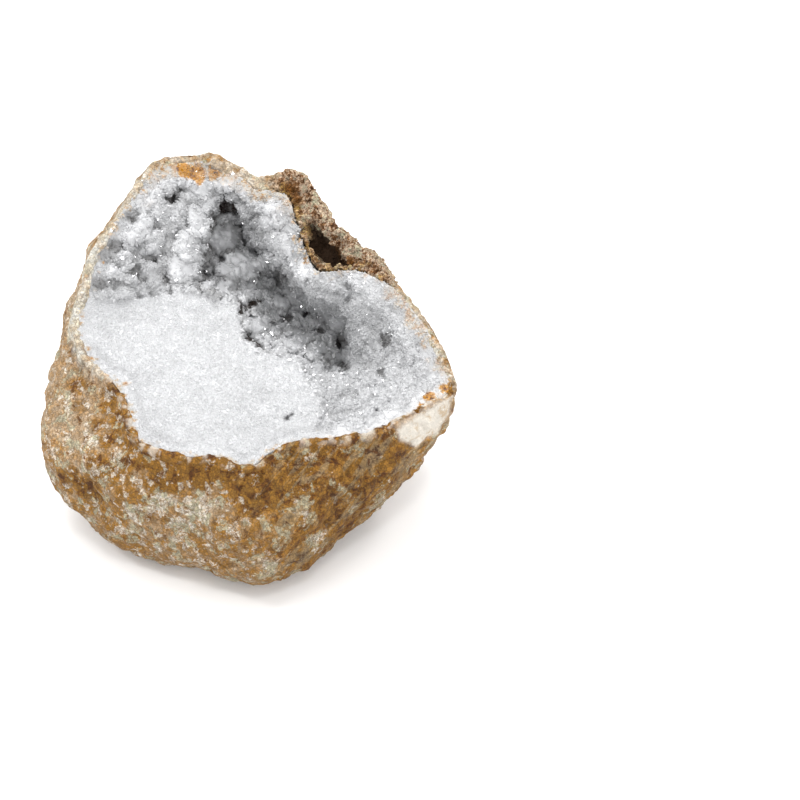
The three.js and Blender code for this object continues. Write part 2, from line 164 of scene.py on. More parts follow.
# Patches on the weathered outside: across, up and radius.
OCHRE_PATCHES = [
    (-19.4, -28.3, 5), (-10.5, -27.6, 5), (-1.6, -28.8, 5), (6, -32.1, 5.5), (2.2, -34.7, 4),
    (14.8, -27, 6), (11, -30.9, 5), (22.4, -23.4, 4), (33.1, -23.4, 5), (37.7, -21.5, 4), (27.5, -27, 4),
    (22.4, -34.7, 4.5), (31.3, -32.1, 5), (40.2, -24.5, 4), (26.3, -41, 5), (14.8, -49.9, 4),
    (-33.3, -8, 2.6), (-30.3, -14.4, 2.6), (-39.7, -32.1, 4), (-46, -29.6, 3.5), (-43.5, 2, 3),
    (47.8, -9.3, 2), (52.5, -6.5, 2), (44.5, -11.8, 1.6), (-18.4, 51.9, 2.4), (-14.1, 51.3, 2.6),
    (-9, 52.5, 2.4), (38, -29, 4), (30, -37, 4),
]
PALE_PATCHES = [
    (-32, -25.8, 3.5), (-33.3, -11, 2), (-38.4, -19.4, 4), (-43.5, -9.3, 4), (-20.7, -35, 4.5),
    (-10.5, -37, 4.5), (-28.3, -39.7, 4.5), (-15.6, -43.3, 4.5), (-1.6, -42, 4), (15.5, -36.5, 4.5),
    (17.4, -22.4, 2.6), (26.2, -20, 2.6), (27.5, -35.9, 2.6), (35.1, -36.5, 3), (19.9, -44.8, 3.6),
    (7.2, -49.9, 4), (-30.5, -18.5, 2.4), (-27, -21, 2.2), (-36, -28, 3),
]
# White lumps near the edge on the left, each with an ochre seam round it.
WHITE_LUMPS = [
    (-34.3, -7.4, 1.5), (-34.6, -11.3, 1.6), (-32.2, -13.5, 1.4), (-33, -27.5, 1.6), (-37.2, -26.8, 2),
    (-43, -10.9, 1.4), (-43.3, -5.7, 1.6), (-34.9, -19.4, 1.3), (-31.7, -19.7, 1.2), (-28.5, -25.2, 1.6),
    (-37.2, -15.8, 1.2), (-18.1, -25.5, 1.2), (-20.4, -28.8, 1.5), (-15.6, -31.4, 1.3),
    (-22.9, -30.3, 1.4), (17, -23.4, 1.4), (24, -34.8, 1.6), (38, -42, 1.6), (33, -47, 1.6),
]


def smooth(value, low, high):
    """0 at low, 1 at high, with a soft step between them."""
    share = np.clip((value - low) / (high - low), 0, 1)
    return share * share * (3 - 2 * share)


def unit(vectors):
    """The same vectors with a length of 1."""
    return vectors / np.linalg.norm(vectors, axis=-1, keepdims=True)


def mouth_of(points):
    """Across, up and out, in millimetres, of points in metres."""
    return MOUTH_AXES @ (points / MM - MOUTH_ORIGIN).T


def inside_by(outline, across, up):
    """Signed distance from an outline, positive inside."""
    nearest = np.full(len(across), 1e9)
    inside = np.zeros(len(across), bool)
    for (x1, y1), (x2, y2) in zip(outline, outline[1:] + outline[:1]):
        dx, dy = x2 - x1, y2 - y1
        along = np.clip(((across - x1) * dx + (up - y1) * dy) / (dx * dx + dy * dy), 0, 1)
        nearest = np.minimum(nearest, np.hypot(across - x1 - along * dx, up - y1 - along * dy))
        if dy:
            inside ^= ((y1 > up) != (y2 > up)) & (across < x1 + (up - y1) / dy * dx)
    return np.where(inside, nearest, -nearest)


def noise_at(points, size, seed=0.0, octaves=1):
    """About -0.5 to 0.5 at points in metres, with swells as large as size, in millimetres.

    The seed picks another part of the noise.
    """
    scaled = points / (size * MM) + seed
    basis = "PERLIN_ORIGINAL"
    if octaves == 1:
        return np.array([noise.noise(p, noise_basis=basis) for p in scaled]) * 0.5
    return np.array([noise.fractal(p, 0.8, 2.1, octaves, noise_basis=basis) for p in scaled]) * 0.5


def cells_at(points, size, seed=0.0):
    """Distance from each point to the nearest of scattered cell centres, in cell sizes."""
    scaled = points / (size * MM) + seed
    return np.array([noise.voronoi(p)[0][0] for p in scaled])


def spread_seeds(points, chance, count, spacing, rng):
    """Picks up to this many of the points by chance, with at least the spacing between them."""
    tries = rng.choice(len(points), count * 5, p=chance / chance.sum())
    kept = np.empty((count, 3))
    found = 0
    for place in points[tries]:
        if found == count:
            break
        if found and np.min(np.sum((kept[:found] - place) ** 2, axis=1)) < (spacing * MM) ** 2:
            continue
        kept[found] = place
        found += 1
    return kept[:found]


def tree_of(points):
    """A tree that finds the nearest of these points."""
    tree = KDTree(len(points))
    for number, place in enumerate(points):
        tree.insert(place, number)
    tree.balance()
    return tree


def round_lumps(points, seeds, radii):
    """Height in millimetres of the tallest ball over each point, and that ball's number or -1."""
    tree = tree_of(points)
    height = np.zeros(len(points))
    owner = np.full(len(points), -1)
    for number, (seed, radius) in enumerate(zip(seeds, radii)):
        for _, index, distance in tree.find_range(seed, radius * MM):
            ball = math.sqrt(radius * radius - (distance / MM) ** 2)
            if ball > height[index]:
                height[index] = ball
                owner[index] = number
    return height, owner


def patches_at(patches, across, up):
    """How much each point lies in one of the soft round patches, 0 to 1."""
    share = np.zeros(len(across))
    for x, y, radius in patches:
        far = np.hypot(across - x, up - y) / radius
        share = np.maximum(share, 1 - smooth(far, 0.35, 1.25))
    return share


def vectors_of(items, key):
    """One vector of each vertex or face, as rows."""
    flat = np.empty(len(items) * 3, np.float32)
    items.foreach_get(key, flat)
    return flat.reshape(-1, 3).astype(float)


def coordinates(mesh):
    return vectors_of(mesh.vertices, "co")


def set_coordinates(mesh, points):
    mesh.vertices.foreach_set("co", points.astype(np.float32).ravel())
    mesh.update()


def vertex_normals(mesh):
    return vectors_of(mesh.vertices, "normal")


def face_outlook(mesh):
    """The middle of each face, and how squarely the face looks away from the hollow's middle."""
    centre = vectors_of(mesh.polygons, "center")
    return centre, (unit(centre / MM - HEART) * vectors_of(mesh.polygons, "normal")).sum(1)


def keep_value(mesh, name, values):
    """Stores one number for each vertex, for the material and the crystals."""
    made = mesh.attributes.new(name, "FLOAT", "POINT")
    made.data.foreach_set("value", np.asarray(values, np.float32))


def value_of(mesh, name):
    values = np.empty(len(mesh.vertices), np.float32)
    mesh.attributes[name].data.foreach_get("value", values)
    return values


def only(piece):
    """Selects this piece alone and makes it active."""
    bpy.ops.object.select_all(action="DESELECT")
    piece.select_set(True)
    bpy.context.view_layer.objects.active = piece


def merged_copy(node, name):
    """A copy of a solid with its loose triangles merged, at the origin."""
    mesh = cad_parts[node].data.copy()
    mesh.name = name
    mesh.materials.clear()
    piece = bpy.data.objects.new(name, mesh)
    bpy.context.scene.collection.objects.link(piece)
    only(piece)
    bpy.ops.object.mode_set(mode="EDIT")
    bpy.ops.mesh.select_all(action="SELECT")
    bpy.ops.mesh.remove_doubles(threshold=1e-6)
    bpy.ops.object.mode_set(mode="OBJECT")
    return piece


def edit_chosen(piece, kind, chosen):
    """Enters edit mode with only these vertices or polygons selected."""
    bpy.context.tool_settings.mesh_select_mode = (kind == "vertices", False, kind == "polygons")
    for items in (piece.data.vertices, piece.data.edges, piece.data.polygons):
        items.foreach_set("select", np.zeros(len(items), bool))
    getattr(piece.data, kind).foreach_set("select", chosen)
    only(piece)
    bpy.ops.object.mode_set(mode="EDIT")


def smooth_vertices(piece, chosen, times):
    edit_chosen(piece, "vertices", chosen)
    bpy.ops.mesh.vertices_smooth(factor=0.5, repeat=times)
    bpy.ops.object.mode_set(mode="OBJECT")


def subdivide_faces(piece, chosen, cuts):
    edit_chosen(piece, "polygons", chosen)
    bpy.ops.mesh.subdivide(number_cuts=cuts)
    bpy.ops.mesh.select_all(action="SELECT")
    bpy.ops.mesh.quads_convert_to_tris()
    bpy.ops.object.mode_set(mode="OBJECT")


def corners_of(mesh):
    """The corners of each face, all of which are triangles."""
    corners = np.empty(len(mesh.loops), np.int32)
    mesh.loops.foreach_get("vertex_index", corners)
    return corners.reshape(-1, 3)


def vertices_of(mesh, chosen):
    """Which vertices are corners of the chosen faces."""
    picked = np.zeros(len(mesh.vertices), bool)
    picked[corners_of(mesh)[chosen]] = True
    return picked


def longest_edge(points, corners):
    """The longest edge of each triangle, in millimetres."""
    sides = [points[corners[:, i]] - points[corners[:, (i + 1) % 3]] for i in range(3)]
    return np.max([np.linalg.norm(side, axis=1) for side in sides], axis=0) / MM


def nearest_distance(targets, points):
    """Distance in millimetres from each point to the nearest target."""
    tree = tree_of(targets)
    return np.array([tree.find(p)[2] for p in points]) / MM


def surface_distance(node, points):
    """Distance in millimetres from each point to a solid's surface."""
    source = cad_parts[node].data
    tree = BVHTree.FromPolygons(
        [v.co[:] for v in source.vertices], [tuple(p.vertices) for p in source.polygons]
    )
    return np.array([tree.find_nearest(Vector(p))[3] for p in points]) / MM


def crust_back(mesh):
    """The triangles of the crust that lie against the limestone."""
    centre, outwards = face_outlook(mesh)
    return (surface_distance("rock_shell", centre) < FACES_TOUCH) & (outwards > 0.45)


def rim_points(mesh, back):
    """Points along the line where the crust's back and face meet, a quarter of a millimetre apart."""
    shared = vertices_of(mesh, back) & vertices_of(mesh, ~back)
    points = coordinates(mesh)
    line = []
    for edge in mesh.edges:
        a, b = edge.vertices
        if shared[a] and shared[b]:
            steps = max(2, int(np.linalg.norm(points[a] - points[b]) / (0.25 * MM)))
            for i in range(steps):
                line.append(points[a] + (points[b] - points[a]) * i / steps)
    return np.array(line)


def add(tree, kind, inputs=None, **settings):
    """A shader node with its settings, and its sockets set or linked by name or number."""
    node = tree.nodes.new(kind)
    for key, value in settings.items():
        setattr(node, key, value)
    for key, value in (inputs or {}).items():
        if isinstance(value, bpy.types.NodeSocket):
            tree.links.new(value, node.inputs[key])
        else:
            node.inputs[key].default_value = value
    return node


def attribute(tree, name):
    return add(tree, "ShaderNodeAttribute", attribute_name=name).outputs["Fac"]


def math_node(tree, operation, a, b, clamp=False):
    return add(tree, "ShaderNodeMath", {0: a, 1: b}, operation=operation, use_clamp=clamp).outputs[0]


def product(tree, *values):
    result = values[0]
    for value in values[1:]:
        result = math_node(tree, "MULTIPLY", result, value)
    return result


def weighed(tree, *terms):
    """The sum of some values, each times its weight."""
    total = None
    for value, weight in terms:
        part = math_node(tree, "MULTIPLY", value, weight)
        total = part if total is None else math_node(tree, "ADD", total, part)
    return total


def mix_colour(tree, share, a, b):
    """Goes from the first colour to the second by share. A colour is a setting or comes from a node."""
    node = add(tree, "ShaderNodeMix", {"Factor": share}, data_type="RGBA")
    for socket, value in ((node.inputs[6], a), (node.inputs[7], b)):
        if isinstance(value, bpy.types.NodeSocket):
            tree.links.new(value, socket)
        else:
            socket.default_value = (*value, 1)
    return node.outputs[2]


def remap(tree, value, low, high, to_low=0.0, to_high=1.0):
    """A soft step of the value between low and high."""
    return add(
        tree, "ShaderNodeMapRange", {0: value, 1: low, 2: high, 3: to_low, 4: to_high},
        interpolation_type="SMOOTHSTEP",
    ).outputs["Result"]


def between(tree, value, low, high, a, b):
    """The first colour where the value is low, and the second where it is high."""
    return mix_colour(tree, remap(tree, value, low, high), a, b)


def noise_node(tree, vector, scale, detail, roughness=0.6, distortion=0.0):
    return add(tree, "ShaderNodeTexNoise", {
        "Vector": vector, "Scale": scale, "Detail": detail, "Roughness": roughness,
        "Distortion": distortion,
    }).outputs["Fac"]


def shifted(tree, vector, shift):
    """Another place in the same noise."""
    return add(tree, "ShaderNodeVectorMath", {0: vector, 1: shift}).outputs[0]


def scaled_vector(tree, vector, scale):
    node = add(tree, "ShaderNodeVectorMath", {0: vector, "Scale": scale}, operation="SCALE")
    return node.outputs[0]


def ramp(tree, value, stops):
    """A run of colours: for each stop its place and its colour."""
    node = add(tree, "ShaderNodeValToRGB", {"Fac": value})
    elements = node.color_ramp.elements
    while len(elements) < len(stops):
        elements.new(0.5)
    for element, (place, colour) in zip(elements, stops):
        element.position = place
        element.color = (*colour, 1)
    return node.outputs["Color"]


def new_material(name):
    material = bpy.data.materials.new(name)
    material.use_nodes = True
    tree = material.node_tree
    shader = tree.nodes["Principled BSDF"]
    return material, tree, shader


def quartz_finish(settings):
    """White where the quartz is thin and lit, grey and smoky where it grew deep and where shade is painted
    into it, brown to near-black in the pits, partly stain and partly painted shade.
    """
    tree = bpy.data.node_groups.new("quartz_finish", "ShaderNodeTree")
    for name, kind in (("Colour", "Color"), ("Roughness", "Float"), ("Grain", "Float")):
        tree.interface.new_socket(name, in_out="OUTPUT", socket_type="NodeSocket" + kind)
    result = tree.nodes.new("NodeGroupOutput")
    place = add(tree, "ShaderNodeTexCoord").outputs["Object"]
    shade = attribute(tree, "shade")
    stain = attribute(tree, "stain")
    tint = attribute(tree, "tint")
    cloud = noise_node(tree, place, 260, 4)
    # The grey is partly the quartz's own tone and partly shade painted into the cave, creases and pits,
    # with clouds at random.
    deep = math_node(tree, "ADD", shade, remap(tree, cloud, 0.3, 0.7, -0.06, 0.06))
    deep = math_node(tree, "ADD", deep, remap(tree, tint, 0, 1, -0.05, 0.05), clamp=True)
    colour = ramp(tree, deep, [
        (0.0, settings.white), (0.35, settings.pale_grey), (0.7, settings.grey), (1.0, settings.smoke),
    ])
    # Pits and gaps turn near-black brown, partly a stain and partly painted shade.
    colour = mix_colour(tree, stain, colour, settings.stain)
    speckle = noise_node(tree, place, 620, 4, 0.75)
    speckle = math_node(tree, "SUBTRACT", speckle, product(tree, attribute(tree, "burnt"), 0.16))
    rim = ramp(tree, speckle, [
        (0.27, settings.dark_ochre), (0.34, settings.ochre), (0.43, settings.ochre), (0.5, settings.cream),
        (0.62, settings.pale_grey),
    ])
    colour = mix_colour(tree, attribute(tree, "rusty"), colour, rim)
    tree.links.new(colour, result.inputs["Colour"])
    tree.links.new(remap(tree, tint, 0.45, 0.7, 0.4, 0.05), result.inputs["Roughness"])
    # The clearest points have smooth faces.
    grain = product(tree, noise_node(tree, place, 1700, 3, 0.7), remap(tree, tint, 0.6, 0.95, 1, 0))
    tree.links.new(grain, result.inputs["Grain"])
    return tree


def quartz_material(name, finish, milky):
    """Quartz with the shared finish, and as much light inside it as milky says."""
    material, tree, shader = new_material(name)
    group = add(tree, "ShaderNodeGroup", node_tree=finish)
    tree.links.new(group.outputs["Colour"], shader.inputs["Base Color"])
    tree.links.new(group.outputs["Roughness"], shader.inputs["Roughness"])
    grain = group.outputs["Grain"]
    bump = add(tree, "ShaderNodeBump", {"Strength": 0.3, "Distance": 0.0002, "Height": grain})
    tree.links.new(bump.outputs["Normal"], shader.inputs["Normal"])
    shader.inputs["IOR"].default_value = 1.54
    shader.inputs["Subsurface Weight"].default_value = milky
    shader.inputs["Subsurface Radius"].default_value = (1, 1, 1)
    shader.inputs["Subsurface Scale"].default_value = 0.0014
    return material


# What the limestone's material reads at each vertex.
LIMESTONE_VALUES = (
    "ochre", "pale", "raised", "streaky", "painted_low_shade", "brown", "yellow", "burnt", "hollow", "chalky", "lip",
    "white_lumps",
)


def limestone_material(settings):
    """Tan and ochre rock with grey-green patches, white flecks, rusty specks and bands of bedding, with
    painted shade between its grains, towards the bottom and in its hollow.
    """
    material, tree, shader = new_material("weathered_limestone")
    place = add(tree, "ShaderNodeTexCoord").outputs["Object"]
    along = add(tree, "ShaderNodeVectorMath", {0: place, 1: BEDDING_ALONG}, operation="DOT_PRODUCT")
    aside = add(tree, "ShaderNodeVectorMath", {0: place, 1: BEDDING_ASIDE}, operation="DOT_PRODUCT")
    bedding = add(tree, "ShaderNodeCombineXYZ", {
        "X": product(tree, along.outputs["Value"], BEDDING_STRETCH), "Y": aside.outputs["Value"],
    }).outputs["Vector"]
    ochre, pale, raised, streaky, painted_low_shade, brown, yellow, burnt, hollow, chalky, lip, white_lumps = (
        attribute(tree, name) for name in LIMESTONE_VALUES
    )
    broad = noise_node(tree, place, 80, 3, 0.55)
    middle = noise_node(tree, place, 330, 4, 0.7)
    fine = noise_node(tree, place, 1250, 3, 0.75)
    blotch = noise_node(tree, shifted(tree, place, (3, 5, 7)), 270, 4, 0.62)
    flecked = noise_node(tree, shifted(tree, place, (9, 2, 4)), 400, 3, 0.6)
    rusted = noise_node(tree, shifted(tree, place, (1, 8, 6)), 430, 4, 0.7, 0.4)
    bands = noise_node(tree, bedding, 330, 4, 0.6, 0.5)
    # The ground turns more ochre where ochre patches lie and, as painted shade, towards the bottom.
    ground = weighed(
        tree, (middle, 0.45), (broad, 0.3), (fine, 0.25), (ochre, 0.17), (pale, -0.06), (streaky, 0.08),
        (painted_low_shade, 0.07),
    )
    patch = weighed(tree, (blotch, 1), (pale, 0.12), (ochre, -0.07), (fine, 0.12))
    fleck = weighed(
        tree, (flecked, 1), (pale, 0.1), (raised, 0.06), (ochre, -0.05), (streaky, -0.07),
        (white_lumps, 0.17),
    )
    off_middle = math_node(tree, "SUBTRACT", middle, 0.5)
    near_seam = add(tree, "ShaderNodeMath", {0: off_middle}, operation="ABSOLUTE").outputs[0]
    seam = product(tree, remap(tree, near_seam, 0.035, 0.005), remap(tree, broad, 0.4, 0.55, 0.2, 0.8))
    rust = weighed(tree, (rusted, 1), (ochre, 0.09), (streaky, 0.03))
    pale_band = product(tree, remap(tree, bands, 0.48, 0.41), product(tree, streaky, 0.3))
    dark_band = weighed(tree, (remap(tree, bands, 0.52, 0.58), 0.8), (fine, 0.2))
    dark_band = product(tree, dark_band, product(tree, streaky, 0.85))
    # The wide broken edge is crumbly and brown, stained yellow beside the crystals.
    crumbly_tone = weighed(tree, (middle, 0.6), (fine, 0.4))
    crumbly = ramp(tree, remap(tree, crumbly_tone, 0.36, 0.62), [
        (0.05, settings.rust), (0.3, settings.brown), (0.55, settings.pink_tan), (0.75, settings.cream),
        (0.95, settings.grey_green),
    ])
    stain = between(tree, fine, 0.4, 0.6, settings.brown, settings.yellow)
    crumbly = mix_colour(tree, yellow, crumbly, stain)
    crumbly = mix_colour(tree, burnt, crumbly, settings.dark_ochre)
    flecks = between(tree, fine, 0.4, 0.6, settings.cream, settings.chalk)
    # Each colour lies over the ones before it, as far as its share says.
    layers = [
        (remap(tree, ground, 0.42, 0.66), settings.ochre),
        (remap(tree, patch, 0.6, 0.66, 0, 0.85), settings.grey_green),
        (remap(tree, fleck, 0.55, 0.63, 0, 0.88), flecks),
        (seam, settings.ochre),
        (remap(tree, rust, 0.57, 0.66, 0, 0.85), settings.dark_ochre),
        (pale_band, settings.grey_green),
        (dark_band, between(tree, rusted, 0.4, 0.6, settings.ochre, settings.dark_ochre)),
        (remap(tree, rust, 0.66, 0.74, 0, 0.9), settings.rust),
        (brown, crumbly),
        (chalky, between(tree, middle, 0.48, 0.68, settings.chalk, settings.cream)),
        (lip, between(tree, middle, 0.42, 0.6, settings.lip, settings.pale_lip)),
    ]
    colour = settings.tan
    for share, over in layers:
        colour = mix_colour(tree, share, colour, over)
    # Each grain of the rock is a little lighter or darker at random, with shade painted into the gaps
    # between them and towards the bottom.
    warp = add(tree, "ShaderNodeTexNoise", {"Vector": place, "Scale": 900.0}).outputs["Color"]
    warped = shifted(tree, place, scaled_vector(tree, warp, 0.0014))
    cells = {"Vector": warped, "Scale": 1050.0}
    grains = add(tree, "ShaderNodeTexVoronoi", cells)
    gaps = add(tree, "ShaderNodeTexVoronoi", cells, feature="DISTANCE_TO_EDGE").outputs["Distance"]
    grain = add(tree, "ShaderNodeSeparateColor", {"Color": grains.outputs["Color"]}).outputs[0]
    light = product(
        tree, remap(tree, grain, 0, 1, 0.78, 1.16), remap(tree, gaps, 0, 0.16, 0.62, 1.06),
        remap(tree, fine, 0.3, 0.7, 0.8, 1.2), remap(tree, ochre, 0, 1, 1.04, 0.88),
        remap(tree, painted_low_shade, 0, 1, 1, 0.86),
    )
    light = add(
        tree, "ShaderNodeMix", {"Factor": product(tree, chalky, 0.7), "A": light, "B": 1.1},
        data_type="FLOAT",
    ).outputs[0]
    # The open hollow is painted near-black, as shade.
    colour = mix_colour(tree, hollow, scaled_vector(tree, colour, light), settings.hollow)
    tree.links.new(colour, shader.inputs["Base Color"])
    tree.links.new(remap(tree, fine, 0.3, 0.7, 0.75, 0.95), shader.inputs["Roughness"])
    shader.inputs["Specular IOR Level"].default_value = 0.3
    grit = weighed(tree, (fine, 0.5), (noise_node(tree, place, 2600, 3, 0.7), 0.3), (gaps, 0.8))
    bump = add(tree, "ShaderNodeBump", {"Strength": 0.8, "Distance": 0.0005, "Height": grit})
    tree.links.new(bump.outputs["Normal"], shader.inputs["Normal"])
    return material


def ragged_edge(outline, across, up):
    """Signed distance from an outline that is a little crooked, the same at every depth of the hollow."""
    flat = np.stack([across, up, 0 * across], axis=1) * MM
    crooked = 1.5 + 2.5 * smooth(-across, 5, 12)
    return inside_by(outline, across, up) + crooked * noise_at(flat, 3, 3.1, 3)


def quartz_regions(points):
    """How far each point is on the mound, in the cave, on the lumpy walls and in the right bowl, 0 to 1."""
    across, up, _ = mouth_of(points)
    fade = smooth(across, 9, 16) * smooth(-up, 0, 6)
    in_mound = ragged_edge(MOUND, across, up)
    mound = smooth(in_mound, -0.35 - 3 * fade, 0.35 + 1.2 * smooth(-across, 4, 12) + 2 * fade)
    cave = smooth(ragged_edge(CAVE, across, up), -0.8, 1.6) * (1 - mound)
    walls = np.maximum(smooth(-across, 6, 12), smooth(up - 0.25 * across, 14, 20))
    walls = walls * (1 - mound) * (1 - cave)
    bowl = (1 - mound) * (1 - cave) * (1 - walls)
    return mound, cave, walls, bowl


def wide_edge(across, up):
    """How far each point is on the wide part of the broken edge, at the back on the right, 0 to 1."""
    return smooth(across, 3, 9) * smooth(42 - across, 0, 6) * smooth(up, 18, 23)


def swatch(name, description, default):
    return FloatVectorProperty(
        name=name, description=description, default=default, min=0, max=1, subtype="COLOR",
    )


def length(name, description, default):
    return FloatProperty(name=name, description=description, default=default, unit="LENGTH")


def amount(name, description, default):
    return IntProperty(name=name, description=description, default=default)


class LimestoneSettings(bpy.types.PropertyGroup):
    rust: swatch("Rust", "Iron-stained specks", (0.075, 0.024, 0.004))
    dark_ochre: swatch("Dark ochre", "Deepest mottling", (0.13, 0.05, 0.006))
    ochre: swatch("Ochre", "Ochre mottling", (0.25, 0.118, 0.018))
    tan: swatch("Tan", "Ground colour", (0.34, 0.25, 0.16))
    cream: swatch("Cream", "Pale patches", (0.42, 0.33, 0.23))
    grey_green: swatch("Grey-green", "Cool pale patches", (0.35, 0.33, 0.23))
    chalk: swatch("Chalk", "White flecks", (0.56, 0.52, 0.46))
    lip: swatch("Lip", "Thin rim round the crystals", (0.44, 0.39, 0.3))
    pale_lip: swatch("Pale lip", "Palest parts of the thin rim", (0.53, 0.51, 0.46))
    brown: swatch("Brown", "Broken edge", (0.23, 0.122, 0.05))
    pink_tan: swatch("Pinkish tan", "Crumbs of the broken edge", (0.46, 0.34, 0.25))
    yellow: swatch("Yellow ochre", "Stain beside the crystals", (0.36, 0.23, 0.06))
    # Near-black painted shade for the open hollow.
    hollow: swatch("Hollow", "Deep hollows", (0.03, 0.014, 0.005))
    crumb_size: length("Crumbs", "Width of the crumbs on the broken edge", 0.0008)
    crumb_count: amount("Crumb count", "Crumbs on the broken edge", 3400)


class QuartzSettings(bpy.types.PropertyGroup):
    sugar_size: length("Sugar", "Width of the mound's grains", 0.0005)
    wall_size: length("Walls", "Width of the walls' points", 0.0008)
    cave_size: length("Cave", "Width of the cave's points", 0.0009)
    bowl_size: length("Bowl", "Width of the bowl's points", 0.0008)
    sugar_count: amount("Sugar count", "Grains on the mound", 32000)
    wall_count: amount("Wall count", "Points on the lumpy walls", 6500)
    cave_count: amount("Cave count", "Points in the cave", 3500)
    bowl_count: amount("Bowl count", "Points in the right bowl", 9000)
    glint_size: length("Glints", "Width of the mirroring faces", 0.0006)
    glint_count: amount("Glint count", "Crystals that mirror a lamp", 300)
    # From white to smoke runs the quartz's own grey and the shade painted into it.
    white: swatch("White", "Thin lit quartz", (0.545, 0.548, 0.558))
    pale_grey: swatch("Pale grey", "Shaded quartz", (0.41, 0.412, 0.42))
    grey: swatch("Grey", "Deep quartz", (0.22, 0.219, 0.22))
    smoke: swatch("Smoke", "Deepest quartz", (0.05, 0.046, 0.042))
    # The near-black brown of the pits and gaps is partly a stain and partly painted shade.
    stain: swatch("Stain", "Brown pits", (0.02, 0.011, 0.007))
    dark_ochre: swatch("Dark ochre", "Deepest rust on the crystals", (0.14, 0.05, 0.008))
    ochre: swatch("Ochre", "Rust on the crystals", (0.42, 0.19, 0.012))
    cream: swatch("Cream", "Pale crust along the rim", (0.5, 0.42, 0.3))


class StageSettings(bpy.types.PropertyGroup):
    distance: length("Camera distance", "From the mouth's plane", 0.8)
    lens: FloatProperty(name="Lens", description="Focal length in millimetres", default=135.72)
    sky: FloatProperty(name="Sky", description="Strength of the light from all round", default=1.1)
    key: FloatProperty(name="Key light", description="Watts of the large lamp", default=4.0)
    fill: FloatProperty(name="Fill light", description="Watts of the lamp beside the camera", default=2.5)
    spark: FloatProperty(name="Spark lights", description="Watts of each small lamp", default=1.5)


